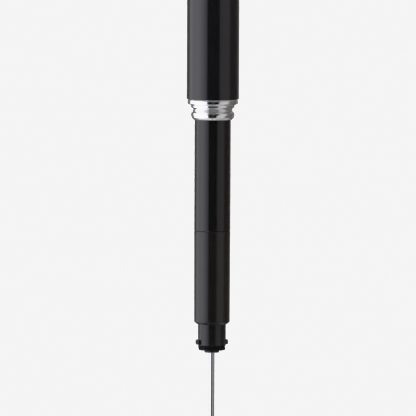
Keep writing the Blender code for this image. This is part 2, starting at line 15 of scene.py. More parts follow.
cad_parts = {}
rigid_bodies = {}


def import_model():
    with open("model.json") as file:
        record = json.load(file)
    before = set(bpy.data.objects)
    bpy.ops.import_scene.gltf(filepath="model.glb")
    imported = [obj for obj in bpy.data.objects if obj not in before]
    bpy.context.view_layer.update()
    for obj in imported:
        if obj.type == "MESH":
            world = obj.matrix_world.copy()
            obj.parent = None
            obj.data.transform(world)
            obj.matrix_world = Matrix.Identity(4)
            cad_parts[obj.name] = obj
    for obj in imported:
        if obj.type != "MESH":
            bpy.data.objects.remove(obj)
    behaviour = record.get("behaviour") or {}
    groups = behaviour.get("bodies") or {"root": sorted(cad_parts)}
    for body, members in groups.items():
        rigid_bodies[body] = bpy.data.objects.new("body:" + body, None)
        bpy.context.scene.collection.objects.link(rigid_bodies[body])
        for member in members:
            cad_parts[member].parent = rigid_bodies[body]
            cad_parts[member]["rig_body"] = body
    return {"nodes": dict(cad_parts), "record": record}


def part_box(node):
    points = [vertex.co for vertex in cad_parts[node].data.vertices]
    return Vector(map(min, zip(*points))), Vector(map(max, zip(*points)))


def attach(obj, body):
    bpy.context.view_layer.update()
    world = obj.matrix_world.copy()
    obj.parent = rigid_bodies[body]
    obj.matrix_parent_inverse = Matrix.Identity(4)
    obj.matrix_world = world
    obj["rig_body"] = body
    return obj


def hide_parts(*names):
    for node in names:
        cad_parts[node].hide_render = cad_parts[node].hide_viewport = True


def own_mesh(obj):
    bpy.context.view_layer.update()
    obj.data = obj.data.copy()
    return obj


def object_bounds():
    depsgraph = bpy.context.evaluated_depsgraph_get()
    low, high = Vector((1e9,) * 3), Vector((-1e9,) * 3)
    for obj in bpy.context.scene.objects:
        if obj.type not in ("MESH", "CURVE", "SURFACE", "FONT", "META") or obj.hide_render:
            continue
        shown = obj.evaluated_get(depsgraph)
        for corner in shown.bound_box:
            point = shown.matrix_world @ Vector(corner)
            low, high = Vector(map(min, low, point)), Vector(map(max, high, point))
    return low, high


for leftover in list(bpy.data.objects):
    bpy.data.objects.remove(leftover)

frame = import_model()
cad_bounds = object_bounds()

MM = 0.001
MICROMETRE = 1e-6
ON_AXIS = 1e-7  # metres from the axis within which an outline's point counts as on it
WELD = 1e-6  # metres within which the spring's vertices are joined
SHARP_ANGLE = math.radians(28)

# Corners: the step of an arc, the length of its support edges in millimetres, and how much of a
# neighbouring side the arc, or the arc and its support, may take up at the most.
ARC_STEP = math.radians(12)
SUPPORT = 0.12
ARC_SHARE = 0.45
SUPPORT_SHARE = 0.48

# Sides of turned shapes.
FINE, MEDIUM, COARSE = 160, 96, 48
COLLAR_SIDES, NEEDLE_SIDES, SECTION_SIDES, DRILL_SIDES, SOCKET_SIDES = 192, 64, 24, 24, 6

# Camera: a long lens, slightly above, that frames the barrel with part of the handle and needle.
# Lengths are in metres and the sensor is in millimetres.
CAMERA_ELEVATION = math.radians(3.5)
CAMERA_ROLL = math.radians(0.24)
CAMERA_DISTANCE = 2.5
FRAME_WIDTH = 0.1676
FRAME_CENTRE = Vector((-0.00176, 0, 0.0583))
SENSOR = 36.0

FLOOR_GAP = 0.3 * MM
FLOOR_SIZE = 40.0
LUG_TURN = math.radians(20)
SIDE_HOLE_HEIGHT = -42.0  # millimetres above the cork's top


# ---------------------------------------------------------------- turned shapes


def rounded(before, corner, after):
    """The arc that rounds one corner of an outline, with a support point on either side.

    The arc takes up at most ARC_SHARE of either side, so on a short side it comes out smaller
    than the radius asked for. quarter_round gives a wide edge its full radius."""
    point = Vector(corner[:2])
    radius = corner[2] if len(corner) > 2 else 0
    to_before = Vector(before[:2]) - point
    to_after = Vector(after[:2]) - point
    if not radius:
        return [point]
    half = to_before.angle(to_after) / 2
    longest = ARC_SHARE * min(to_before.length, to_after.length)
    reach = min(radius / math.tan(half), longest)
    radius = reach * math.tan(half)
    to_before_unit = to_before.normalized()
    to_after_unit = to_after.normalized()
    centre = point + (to_before_unit + to_after_unit).normalized() * radius / math.sin(half)
    start = point + to_before_unit * reach - centre
    end = point + to_after_unit * reach - centre
    turn = math.pi - 2 * half
    side = 1 if start.x * end.y - start.y * end.x > 0 else -1
    steps = max(2, math.ceil(turn / ARC_STEP))
    arc = [
        centre + Matrix.Rotation(side * turn * i / steps, 2) @ start for i in range(steps + 1)
    ]
    lead_in = min(SUPPORT, SUPPORT_SHARE * to_before.length - reach)
    lead_out = min(SUPPORT, SUPPORT_SHARE * to_after.length - reach)
    first = point + to_before_unit * (reach + lead_in)
    last = point + to_after_unit * (reach + lead_out)
    return [first, *arc, last]


def quarter_round(outer, top, radius):
    """Outline points of an outer top edge with a wider round than a corner's own can be."""
    steps = math.ceil(math.pi / 2 / ARC_STEP)
    angles = [math.pi / 2 * i / steps for i in range(steps + 1)]
    return [
        (outer - radius + radius * math.sin(a), top - radius + radius * math.cos(a))
        for a in angles
    ]


def smooth_outline(outline, closed):
    """The outline's points with its corners rounded. An open one keeps its two ends."""
    points = []
    count = len(outline)
    for i, corner in enumerate(outline):
        at_end = not closed and i in (0, count - 1)
        if at_end:
            points.append(Vector(corner[:2]))
        else:
            points += rounded(outline[i - 1], corner, outline[(i + 1) % count])
    return points


def as_object(shape, name):
    """Puts a finished bmesh in the scene."""
    mesh = bpy.data.meshes.new(name)
    shape.to_mesh(mesh)
    shape.free()
    piece = bpy.data.objects.new(name, mesh)
    bpy.context.scene.collection.objects.link(piece)
    return piece


def lathe(name, outline, base, segments=FINE):
    """Turns an outline about the Z axis into a closed mesh object."""
    closed = outline[0][0] > 0
    points = smooth_outline(outline, closed)
    shape = bmesh.new()
    turns = [2 * math.pi * i / segments for i in range(segments)]
    rings = []
    for point in points:
        radius, height = point.x * MM, base + point.y * MM
        if radius < ON_AXIS:
            rings.append([shape.verts.new((0, 0, height))] * segments)
            continue
        rings.append(
            [shape.verts.new((radius * math.cos(a), radius * math.sin(a), height)) for a in turns]
        )
    pairs = list(zip(rings, rings[1:]))
    if closed:
        pairs.append((rings[-1], rings[0]))
    for upper, lower in pairs:
        for i in range(segments):
            j = (i + 1) % segments
            corners = [upper[i], lower[i], lower[j], upper[j]]
            distinct = list(dict.fromkeys(corners))
            if len(distinct) > 2:
                shape.faces.new(distinct)
    bmesh.ops.recalc_face_normals(shape, faces=shape.faces)
    return as_object(shape, name)


def base_of(node):
    """Height of a CAD node's lowest point, in metres."""
    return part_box(node)[0].z


def height_of(node):
    """A CAD node's height, in millimetres."""
    low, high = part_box(node)
    return (high.z - low.z) / MM


def install(piece, node, finish=None):
    """Makes a fine piece stand for its CAD node, on that node's body and in its slot."""
    piece.data.shade_smooth()
    piece.data.set_sharp_from_angle(angle=SHARP_ANGLE)
    piece.data.materials.clear()
    piece.data.materials.append(finish or finishes[slots[node]])
    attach(piece, frame["nodes"][node]["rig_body"])
    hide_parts(node)


def turned(node, outline, segments=FINE):
    """Turns an outline and makes it stand for a CAD node."""
    install(lathe(f"fine_{node}", outline, base_of(node), segments), node)


def apply_modifiers(piece):
    """Turns a piece's modifiers into plain mesh."""
    bpy.context.view_layer.update()
    graph = bpy.context.evaluated_depsgraph_get()
    mesh = bpy.data.meshes.new_from_object(piece.evaluated_get(graph))
    piece.modifiers.clear()
    piece.data = mesh


def combine(piece, other, operation):
    """Joins or cuts a piece with another one, which is used up."""
    modifier = piece.modifiers.new(operation.lower(), "BOOLEAN")
    modifier.operation = operation
    modifier.object = other
    modifier.solver = "EXACT"
    apply_modifiers(piece)
    bpy.data.objects.remove(other)


def block(name, size, centre, turn=0.0):
    """A plain block for cutting, in millimetres, turned about the Z axis after it is placed."""
    shape = bmesh.new()
    place = Matrix.LocRotScale(Vector(centre) * MM, None, Vector(size) * MM)
    bmesh.ops.create_cube(shape, size=1.0, matrix=Matrix.Rotation(turn, 4, "Z") @ place)
    return as_object(shape, name)


def upright_rod(name, radius, low, high, base, sides):
    """A round or many-sided rod on the axis, for cutting."""
    return lathe(name, [(0, high), (radius, high), (radius, low), (0, low)], base, sides)


# ---------------------------------------------------------------- finishes


class Finish:
    """A Principled material whose colour, roughness and relief come from procedural noise."""

    def __init__(self, name, colour, roughness, metallic=0.0):
        self.material = bpy.data.materials.new(name)
        self.material.use_nodes = True
        self.tree = self.material.node_tree
        self.shader = self.tree.nodes["Principled BSDF"]
        self.shader.inputs["Base Color"].default_value = (*colour, 1)
        self.shader.inputs["Roughness"].default_value = roughness
        self.shader.inputs["Metallic"].default_value = metallic
        self.colour = colour
        self.roughness = roughness
        self.place = self.tree.nodes.new("ShaderNodeTexCoord").outputs["Object"]
        self.relief = None

    def noise(self, scale, stretch=(1, 1, 1), detail=3.0):
        """Noise with `scale` features per metre, stretched along an axis by a small factor."""
        mapping = self.tree.nodes.new("ShaderNodeMapping")
        mapping.inputs["Scale"].default_value = [scale * part for part in stretch]
        texture = self.tree.nodes.new("ShaderNodeTexNoise")
        texture.inputs["Scale"].default_value = 1.0
        texture.inputs["Detail"].default_value = detail
        self.tree.links.new(self.place, mapping.inputs["Vector"])
        self.tree.links.new(mapping.outputs["Vector"], texture.inputs["Vector"])
        return texture.outputs["Fac"]

    def vary_roughness(self, value, low, high, start=0.3, end=0.7):
        """Spreads the roughness between two multiples of its plain value."""
        node = self.tree.nodes.new("ShaderNodeMapRange")
        node.inputs["From Min"].default_value = start
        node.inputs["From Max"].default_value = end
        node.inputs["To Min"].default_value = low * self.roughness
        node.inputs["To Max"].default_value = high * self.roughness
        self.tree.links.new(value, node.inputs["Value"])
        self.tree.links.new(node.outputs["Result"], self.shader.inputs["Roughness"])

    def vary_colour(self, value, factor, start=0.3, end=0.7):
        """Blends from the base colour to a multiple of it where the noise is high."""
        ramp = self.tree.nodes.new("ShaderNodeValToRGB")
        first, last = ramp.color_ramp.elements
        first.position, last.position = start, end
        first.color = (*self.colour, 1)
        last.color = (*[factor * part for part in self.colour], 1)
        self.tree.links.new(value, ramp.inputs["Fac"])
        self.tree.links.new(ramp.outputs["Color"], self.shader.inputs["Base Color"])

    def add_relief(self, value, height):
        """Adds a bump of some micrometres on top of the relief so far."""
        bump = self.tree.nodes.new("ShaderNodeBump")
        bump.inputs["Strength"].default_value = 1.0
        bump.inputs["Distance"].default_value = height * MICROMETRE
        self.tree.links.new(value, bump.inputs["Height"])
        if self.relief:
            self.tree.links.new(self.relief, bump.inputs["Normal"])
        self.relief = bump.outputs["Normal"]
        self.tree.links.new(self.relief, self.shader.inputs["Normal"])


# Stretches of the noise that make lines round a piece and lines along it.
AROUND = (0.02, 0.02, 1)
ALONG = (1, 1, 0.02)


def gloss_plastic(name, colour, roughness, gloss):
    """Moulded gloss black: a faint ripple from the mould and smudges from hands."""
    finish = Finish(name, colour, roughness)
    finish.vary_colour(finish.noise(90), 1.3)
    finish.vary_roughness(finish.noise(160, detail=4), 0.8, 1.35)
    finish.add_relief(finish.noise(260, detail=1), 1.5)
    finish.add_relief(finish.noise(9000, detail=2), 0.1)
    finish.shader.inputs["Specular IOR Level"].default_value = gloss
    return finish.material


def anodised(name, colour, roughness, gloss):
    """Polished and black anodised tube, with faint lines drawn along it."""
    finish = Finish(name, colour, roughness)
    finish.vary_colour(finish.noise(3000, ALONG, 4), 1.4)
    finish.vary_roughness(finish.noise(140, detail=4), 0.85, 1.3)
    finish.add_relief(finish.noise(5000, ALONG, 4), 0.2)
    finish.shader.inputs["Specular IOR Level"].default_value = gloss
    return finish.material


def chrome_plate(name, colour, roughness):
    """Mirror plating with a trace of smudging and a very slight waviness under it."""
    finish = Finish(name, colour, roughness, 1.0)
    finish.vary_roughness(finish.noise(300, detail=4), 0.5, 1.6)
    finish.vary_colour(finish.noise(500), 0.93)
    finish.add_relief(finish.noise(700, detail=1), 0.4)
    return finish.material


def turned_metal(name, colour, roughness, metallic=1.0):
    """Lathe-turned metal: fine lines run round the piece."""
    finish = Finish(name, colour, roughness, metallic)
    lines = finish.noise(14000, AROUND, 3)
    finish.vary_colour(lines, 0.8)
    finish.vary_roughness(finish.noise(1200, detail=3), 0.8, 1.3)
    finish.add_relief(lines, 1.2)
    return finish.material


def drawn_metal(name, colour, roughness):
    """Drawn and polished wire or tube: fine lines run along it."""
    finish = Finish(name, colour, roughness, 1.0)
    lines = finish.noise(20000, ALONG, 3)
    finish.vary_colour(lines, 0.85)
    finish.vary_roughness(finish.noise(900, detail=3), 0.75, 1.3)
    finish.add_relief(lines, 0.6)
    return finish.material


def machined_plastic(name, colour, roughness):
    """Acetal off the lathe: satin, with feed lines and slightly uneven colour."""
    finish = Finish(name, colour, roughness)
    finish.vary_colour(finish.noise(400), 0.88)
    finish.vary_roughness(finish.noise(900), 0.85, 1.2)
    finish.add_relief(finish.noise(9000, AROUND, 2), 2.0)
    finish.shader.inputs["Subsurface Weight"].default_value = 0.05
    finish.shader.inputs["Subsurface Radius"].default_value = (0.001, 0.001, 0.001)
    return finish.material


def moulded_rubber(name, colour, roughness, gloss=0.5):
    """Dull rubber with a fine matt grain and a little bloom."""
    finish = Finish(name, colour, roughness)
    finish.vary_colour(finish.noise(700, detail=4), 1.6)
    finish.vary_roughness(finish.noise(1500), 0.9, 1.1)
    finish.add_relief(finish.noise(12000, detail=2), 6.0)
    finish.shader.inputs["Specular IOR Level"].default_value = gloss
    return finish.material


# ---------------------------------------------------------------- handle and collar


def make_handle():
    """Handle shell, the domed cap in its top and the chrome disc in the cap."""
    length = height_of("handle_shell")
    outer, bore = 10.5, 9.3
    turned(
        "handle_shell",
        [(bore, length, 0.1), (outer, length, 0.12), (outer, 0, 0.08), (bore, 0, 0.12)],
    )
    spigot, boss, rod_hole, screw_hole, well, seat = 9.2, 5.0, 3.11, 1.6, 3.3, 6.1
    top, rim, web_top, web_bottom, seat_height = 16.2, 9.2, 8.0, 6.1, 15.0
    spigot_wall, dome_radius = 1.3, 4.0
    turned(
        "end_cap",
        [
            (seat, top, 0.12),
            *quarter_round(outer, top, dome_radius),
            (outer, rim, 0.12),
            (spigot, rim, 0.05),
            (spigot, 0, 0.3),
            (spigot - spigot_wall, 0, 0.1),
            (spigot - spigot_wall, web_bottom, 0.4),
            (boss, web_bottom, 0.4),
            (boss, 0, 0.15),
            (rod_hole, 0, 0.15),
            (rod_hole, web_bottom),
            (screw_hole, web_bottom),
            (screw_hole, web_top),
            (well, web_top),
            (well, seat_height),
            (seat, seat_height),
        ],
    )
    thickness = height_of("cap_disc")
    groove = 0.12
    turned(
        "cap_disc",
        [
            (0, thickness),
            (4.7, thickness, 0.05),
            (4.8, thickness - groove, 0.03),
            (5.05, thickness - groove, 0.03),
            (5.15, thickness, 0.05),
            (6.0, thickness, 0.2),
            (6.0, 0, 0.05),
            (0, 0),
        ],
    )


def make_collar():
    """Chrome collar: a wide band, a narrow band, a hollow neck and a tapered band, all softly
    edged. A bush behind them runs on the barrel."""
    turned(
        "chrome_collar",
        [
            (8.35, 17.0, 0.1),
            (9.2, 17.0, 0.2),
            (9.2, 8.2, 0.05),
            (9.9, 8.2, 0.1),
            (10.1, 7.5, 1.6),
            (10.1, 6.4, 0.15),
            (8.85, 5.95, 0.1),
            (8.7, 5.75, 0.2),
            (8.7, 4.95, 0.25),
            (7.76, 4.35, 0.15),
            (7.97, 3.15, 0.2),
            (8.62, 2.7, 0.3),
            (8.7, 1.9, 0.8),
            (8.45, 0.85, 0.5),
            (7.72, 0, 0.25),
            (7.42, 0, 0.05),
            (7.42, 6.0, 0.1),
            (8.35, 6.0, 0.05),
        ],
        COLLAR_SIDES,
    )
    length = height_of("collar_bush")
    turned(
        "collar_bush",
        [
            (7.36, length, 0.15),
            (8.9, length, 0.1),
            (8.9, 11.0, 0.05),
            (8.3, 11.0, 0.1),
            (8.3, 0, 0.15),
            (7.36, 0, 0.15),
        ],
    )


# ---------------------------------------------------------------- barrel, valve and pump


def make_barrel():
    """Barrel and its top plug, with the vents and the rubber stop under it."""
    length, seam = height_of("barrel"), 0.1
    turned(
        "barrel",
        [(6.25, length, 0.1), (7.25, length, 0.3), (7.25, seam, 0.05), (6.25, seam, 0.05)],
    )
    flange_top, spigot_length = height_of("barrel_gland"), 7.5
    vents, vent_radius, vent_ring = 4, 0.6, 4.8
    gland = lathe(
        "fine_barrel_gland",
        [
            (3.11, flange_top, 0.2),
            (7.1, flange_top, 0.3),
            (7.1, spigot_length, 0.1),
            (6.15, spigot_length, 0.05),
            (6.15, 0, 0.3),
            (3.11, 0, 0.2),
        ],
        base_of("barrel_gland"),
        MEDIUM,
    )
    for i in range(vents):
        base = base_of("barrel_gland")
        drill = upright_rod("drill", vent_radius, -1, flange_top + 1, base, DRILL_SIDES)
        bearing = 2 * math.pi * (i + 0.5) / vents
        drill.location = Vector((math.cos(bearing), math.sin(bearing), 0)) * vent_ring * MM
        combine(gland, drill, "DIFFERENCE")
    install(gland, "barrel_gland")
    thickness = height_of("gland_bumper")
    turned(
        "gland_bumper",
        [(3.16, thickness, 0.1), (4.0, thickness, 0.15), (4.0, 0, 0.25), (3.16, 0, 0.1)],
        MEDIUM,
    )


def make_valve():
    """Plug in the barrel's foot, and the check valve in it."""
    top, groove_top, groove_bottom, chamber_top, chamber_floor = 14.85, 9.65, 8.05, 11.85, 6.45
    tube_end = 5.25
    turned(
        "valve_housing",
        [
            (4.2, top, 0.1),
            (6.2, top, 0.3),
            (6.2, groove_top, 0.1),
            (5.15, groove_top, 0.1),
            (5.15, groove_bottom, 0.1),
            (6.2, groove_bottom, 0.1),
            (6.2, 0, 0.15),
            (3.55, 0, 0.2),
            (3.55, tube_end),
            (1.0, tube_end),
            (1.0, chamber_floor),
            (2.6, chamber_floor),
            (2.6, chamber_top),
            (4.2, chamber_top),
        ],
        MEDIUM,
    )
    top = height_of("valve_seat")
    turned(
        "valve_seat",
        [(1.2, top, 0.2), (4.15, top, 0.2), (4.15, 0, 0.1), (1.2, 0, 0.15)],
        MEDIUM,
    )
    top, disc_bottom, stem = height_of("valve_poppet"), 2.1, 1.1
    turned(
        "valve_poppet",
        [
            (0, top),
            (2.2, top, 0.1),
            (2.2, disc_bottom, 0.2),
            (stem, disc_bottom, 0.15),
            (stem, 0, 0.2),
            (0, 0),
        ],
        MEDIUM,
    )
    top = height_of("poppet_seal")
    turned("poppet_seal", [(0, top), (2.0, top, 0.08), (2.0, 0, 0.05), (0, 0)], MEDIUM)
    make_valve_spring()


def make_valve_spring():
    """Round-wire spring under the poppet, wound to the height of its CAD node."""
    wire, mean_radius, turns, steps, lift = 0.18, 1.65, 4, 160, 1.0
    low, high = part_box("valve_spring")
    curve = bpy.data.curves.new("spring_path", "CURVE")
    curve.dimensions = "3D"
    curve.bevel_depth = wire * MM
    curve.bevel_resolution = 3
    curve.use_fill_caps = True
    path = curve.splines.new("POLY")
    path.points.add(steps)
    bottom, rise = low.z + wire * MM, high.z - low.z - 2 * wire * MM
    for i, point in enumerate(path.points):
        share = i / steps
        turn = 2 * math.pi * turns * share
        across = mean_radius * MM * math.cos(turn), mean_radius * MM * math.sin(turn)
        point.co = (*across, bottom + rise * share, 1)
    guide = bpy.data.objects.new("spring_path", curve)
    bpy.context.scene.collection.objects.link(guide)
    bpy.context.view_layer.update()
    graph = bpy.context.evaluated_depsgraph_get()
    mesh = bpy.data.meshes.new_from_object(guide.evaluated_get(graph))
    bpy.data.objects.remove(guide)
    shape = bmesh.new()
    shape.from_mesh(mesh)
    bmesh.ops.remove_doubles(shape, verts=shape.verts, dist=WELD)
    spring = as_object(shape, "fine_valve_spring")
    install(spring, "valve_spring")
    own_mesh(spring)


def make_piston():
    """Piston with its groove and the intake notches below it, and the rod."""
    top, groove_top, groove_bottom, notches = height_of("piston"), 5.1, 2.9, 4
    piston = lathe(
        "fine_piston",
        [
            (1.6, top),
            (6.1, top, 0.3),
            (6.1, groove_top, 0.1),
            (4.85, groove_top, 0.15),
            (4.85, groove_bottom, 0.15),
            (6.1, groove_bottom, 0.1),
            (6.1, 0, 0.3),
            (2.9, 0, 0.1),
            (2.9, 1.8),
            (1.6, 1.8),
        ],
        base_of("piston"),
        MEDIUM,
    )
    for i in range(notches):
        bearing = 2 * math.pi * (i + 0.5) / notches
        centre = (6.1, 0, base_of("piston") / MM)
        notch = block("notch", (2.0, 1.8, 2 * groove_bottom), centre, bearing)
        combine(piston, notch, "DIFFERENCE")
    install(piston, "piston")
    length, rod, hole, foot_hole, head_hole = height_of("piston_rod"), 3.0, 1.55, 8.5, 10.0
    turned(
        "piston_rod",
        [
            (0, length - head_hole),
            (hole, length - head_hole),
            (hole, length, 0.15),
            (rod, length, 0.3),
            (rod, 0, 0.3),
            (hole, 0, 0.15),
            (hole, foot_hole),
            (0, foot_hole),
        ],
        MEDIUM,
    )


def make_cap_screw(node, head, head_radius, upright):
    """Socket-head screw on the axis, with its head at the top if it stands upright."""
    length, shank = height_of(node), 1.45
    socket_depth, socket_radius = 0.55 * head, 0.42 * head_radius
    outline = [
        (0, length),
        (head_radius, length, 0.25),
        (head_radius, length - head, 0.1),
        (shank, length - head, 0.1),
        (shank, 0, 0.25),
        (0, 0),
    ]
    low, high = length - socket_depth, length + 1
    if not upright:
        outline = [(corner[0], length - corner[1], *corner[2:]) for corner in reversed(outline)]
        low, high = -1, socket_depth
    screw = lathe(f"fine_{node}", outline, base_of(node), COARSE)
    socket = upright_rod("socket", socket_radius, low, high, base_of(node), SOCKET_SIDES)
    combine(screw, socket, "DIFFERENCE")
    install(screw, node)


def make_seal_rings():
    """O-rings, round in section. The CAD rings have six-sided sections with a corner outwards."""
    for node in ("piston_ring", "housing_ring", "drag_ring"):
        low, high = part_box(node)
        middle = (low.z + high.z) / 2
        section = (high.z - middle) / MM / math.sin(math.radians(60))
        centre = high.x / MM - section
        turns = [2 * math.pi * i / SECTION_SIDES for i in range(SECTION_SIDES)]
        outline = [
            (centre + section * math.sin(turn), section * math.cos(turn)) for turn in turns
        ]
        install(lathe(f"fine_{node}", outline, middle, MEDIUM), node)


# ---------------------------------------------------------------- ejector


def lug(turn):
    """One of the nose's lugs: a block with sloping sides and rounded edges that stands out of
    the nose. The turn is that of its outward direction from +X."""
    top, bottom, outer, root, half_width, draft = 5.23, 3.2, 6.45, 5.0, 1.6, 0.21
    spread = draft * (outer - root)
    plan = [
        (root, half_width + spread),
        (outer, half_width),
        (outer, -half_width),
        (root, -half_width - spread),
    ]
    shape = bmesh.new()
    face = shape.faces.new([shape.verts.new((x * MM, y * MM, bottom * MM)) for x, y in plan])
    grown = bmesh.ops.extrude_face_region(shape, geom=[face])
    raised = [item for item in grown["geom"] if isinstance(item, bmesh.types.BMVert)]
    bmesh.ops.translate(shape, verts=raised, vec=(0, 0, (top - bottom) * MM))
    bmesh.ops.recalc_face_normals(shape, faces=shape.faces)
    outer_edges = [
        edge
        for edge in shape.edges
        if all(vertex.co.x > (outer - 0.1) * MM for vertex in edge.verts)
        and abs(edge.verts[0].co.z - edge.verts[1].co.z) < 0.1 * MM
    ]
    bmesh.ops.bevel(
        shape, geom=outer_edges, offset=0.55 * MM, segments=6, profile=0.5, affect="EDGES"
    )
    piece = as_object(shape, "lug")
    piece.rotation_euler.z = turn
    bevel = piece.modifiers.new("edges", "BEVEL")
    bevel.width = 0.2 * MM
    bevel.segments = 4
    bevel.limit_method = "ANGLE"
    bevel.angle_limit = math.radians(40)
    apply_modifiers(piece)
    return piece


def make_ejector():
    """Sleeve with the low tongue behind the seam, nose with its lugs, pad and bush."""
    length, chamfer, lip, rebate = height_of("ejector_sleeve"), 0.95, 1.4, 0.09
    turned(
        "ejector_sleeve",
        [
            (6.0, length + rebate, 0.03),
            (6.98, length + rebate, 0.03),
            (6.98, length),
            (7.25, length, 0.06),
            (7.14, chamfer, 0.3),
            (5.95, 0.02, 0.1),
            (5.65, 0, 0.05),
            (5.65, lip),
            (6.0, lip),
        ],
    )
    top, shoulder, groove_top, land_top = height_of("nose"), 10.05, 1.4, 4.6
    nose = lathe(
        "fine_nose",
        [
            (4.5, top, 0.1),
            (5.95, top, 0.2),
            (5.95, shoulder),
            (5.6, shoulder, 0.05),
            (5.6, 0, 0.2),
            (4.9, 0),
            (4.9, groove_top),
            (4.1, groove_top),
            (4.1, 0),
            (3.61, 0, 0.15),
            (3.61, land_top, 0.1),
            (4.5, land_top, 0.1),
        ],
        base_of("nose"),
    )
    for side in range(2):
        combine(nose, lug(LUG_TURN + side * math.pi), "UNION")
    install(nose, "nose", nose_black)
    tongue_top, rim = height_of("nose_pad"), 1.85
    turned(
        "nose_pad",
        [
            (3.71, rim, 0.1),
            (4.15, rim),
            (4.15, tongue_top, 0.1),
            (4.85, tongue_top, 0.1),
            (4.85, rim),
            (5.4, rim, 0.1),
            (5.4, 0, 0.3),
            (3.71, 0, 0.2),
        ],
    )
    length, groove_bottom, groove_top = height_of("sleeve_bush"), 2.2, 3.6
    turned(
        "sleeve_bush",
        [
            (3.61, length, 0.3),
            (5.9, length, 0.25),
            (5.9, 0, 0.25),
            (3.61, 0, 0.3),
            (3.61, groove_bottom, 0.05),
            (4.55, groove_bottom, 0.1),
            (4.55, groove_top, 0.1),
            (3.61, groove_top, 0.05),
        ],
        MEDIUM,
    )


# ---------------------------------------------------------------- guide tube and needle


def make_guide():
    """Guide tube with its stop ring, and the gasket and hub at its foot."""
    length, groove_top, groove_bottom, thread_end = height_of("guide_tube"), 6.9, 6.0, 6.5
    turned(
        "guide_tube",
        [
            (1.4, length, 0.1),
            (3.5, length, 0.3),
            (3.5, groove_top, 0.06),
            (3.05, groove_top, 0.05),
            (3.05, groove_bottom, 0.05),
            (3.5, groove_bottom, 0.06),
            (3.5, 0, 0.3),
            (2.4, 0, 0.1),
            (2.4, thread_end),
            (1.4, thread_end),
        ],
        MEDIUM,
    )
    thickness = height_of("stop_ring")
    ring = lathe(
        "fine_stop_ring",
        [(3.1, thickness, 0.1), (4.2, thickness, 0.1), (4.2, 0, 0.1), (3.1, 0, 0.1)],
        base_of("stop_ring"),
        MEDIUM,
    )
    mouth = block("mouth", (8.4, 2.4, 4.0), (4.2, 0, base_of("stop_ring") / MM))
    combine(ring, mouth, "DIFFERENCE")
    install(ring, "stop_ring")
    thickness = height_of("hub_gasket")
    turned(
        "hub_gasket",
        [(2.35, thickness, 0.08), (3.3, thickness, 0.15), (3.3, 0, 0.15), (2.35, 0, 0.08)],
        MEDIUM,
    )
    height, flange = height_of("needle_hub"), 2.2
    turned(
        "needle_hub",
        [
            (1.15, height, 0.1),
            (2.3, height, 0.3),
            (2.3, flange, 0.05),
            (3.0, flange, 0.2),
            (3.0, 1.35, 0.05),
            (2.88, 1.2, 0.1),
            (2.88, 0.95, 0.1),
            (3.0, 0.8, 0.05),
            (3.0, 0, 0.25),
            (1.15, 0, 0.15),
        ],
        MEDIUM,
    )


def make_needle():
    """Hollow needle with a closed point and a cross hole near it."""
    length, point, bore_floor, side_hole_radius = height_of("needle"), 3.6, 4.1, 0.35
    needle = lathe(
        "fine_needle",
        [
            (0, bore_floor),
            (0.5, bore_floor, 0.2),
            (0.5, length, 0.05),
            (1.1, length, 0.15),
            (1.1, point, 1.5),
            (0.33, 0.72, 0.3),
            (0, 0),
        ],
        base_of("needle"),
        NEEDLE_SIDES,
    )
    drill = upright_rod("drill", side_hole_radius, -3, 3, 0, DRILL_SIDES)
    drill.rotation_euler.y = math.pi / 2
    drill.location.z = SIDE_HOLE_HEIGHT * MM
    combine(needle, drill, "DIFFERENCE")
    install(needle, "needle")


# ---------------------------------------------------------------- studio


def make_floor():
    """A plain pale floor just under the needle's point."""
    level = cad_bounds[0].z - FLOOR_GAP
    bpy.ops.mesh.primitive_plane_add(size=FLOOR_SIZE, location=(0, 0, level))
    floor = bpy.context.object
    floor.name = "floor"
    finish = Finish("pale_floor", (0.86, 0.86, 0.863), 0.9)
    finish.vary_colour(finish.noise(6, detail=2), 1.01)
    finish.shader.inputs["Specular IOR Level"].default_value = 0.0
    floor.data.materials.append(finish.material)
    floor.visible_glossy = False


def math_node(tree, operation, first, second=0.0, third=0.0):
    """A Math node's result, from constants and other nodes' outputs."""
    node = tree.nodes.new("ShaderNodeMath")
    node.operation = operation
    for socket, value in zip(node.inputs, (first, second, third)):
        feed(tree, socket, value)
    return node.outputs[0]


def ramp_node(tree, bearing, stops, top):
    """Colours by bearing, from stops of (degrees, colour). A ramp's colours can't pass 1, so they
    come out divided by top."""
    ramp = tree.nodes.new("ShaderNodeValToRGB")
    elements = ramp.color_ramp.elements
    elements.remove(elements[1])
    for i, (degrees, colour) in enumerate(stops):
        place = (degrees + 180) / 360
        element = elements.new(place) if i else elements[0]
        element.position = place
        element.color = (*[part / top for part in colour], 1)
    turn = math_node(tree, "MULTIPLY_ADD", bearing, 0.5 / math.pi, 0.5)
    tree.links.new(turn, ramp.inputs["Fac"])
    return ramp.outputs["Color"]


def share_between(tree, value, start, end):
    """0 at start, 1 at end, smooth between."""
    node = tree.nodes.new("ShaderNodeMapRange")
    node.interpolation_type = "SMOOTHSTEP"
    node.inputs["From Min"].default_value = start
    node.inputs["From Max"].default_value = end
    tree.links.new(value, node.inputs["Value"])
    return node.outputs["Result"]


def feed(tree, socket, value):
    """Sets a socket to a constant or links it to another node's output."""
    if isinstance(value, bpy.types.NodeSocket):
        tree.links.new(value, socket)
    else:
        socket.default_value = value


def background_node(tree, colour, strength):
    node = tree.nodes.new("ShaderNodeBackground")
    feed(tree, node.inputs["Color"], colour)
    feed(tree, node.inputs["Strength"], strength)
    return node.outputs[0]


def mix_node(tree, share, first, second):
    node = tree.nodes.new("ShaderNodeMixShader")
    for socket, value in zip(node.inputs, (share, first, second)):
        feed(tree, socket, value)
    return node.outputs[0]


def mix_levels(tree, first, second, share):
    """first where share is 0, second where it is 1."""
    rest = math_node(tree, "SUBTRACT", 1.0, share)
    kept = math_node(tree, "MULTIPLY", first, rest)
    return math_node(tree, "MULTIPLY_ADD", share, second, kept)


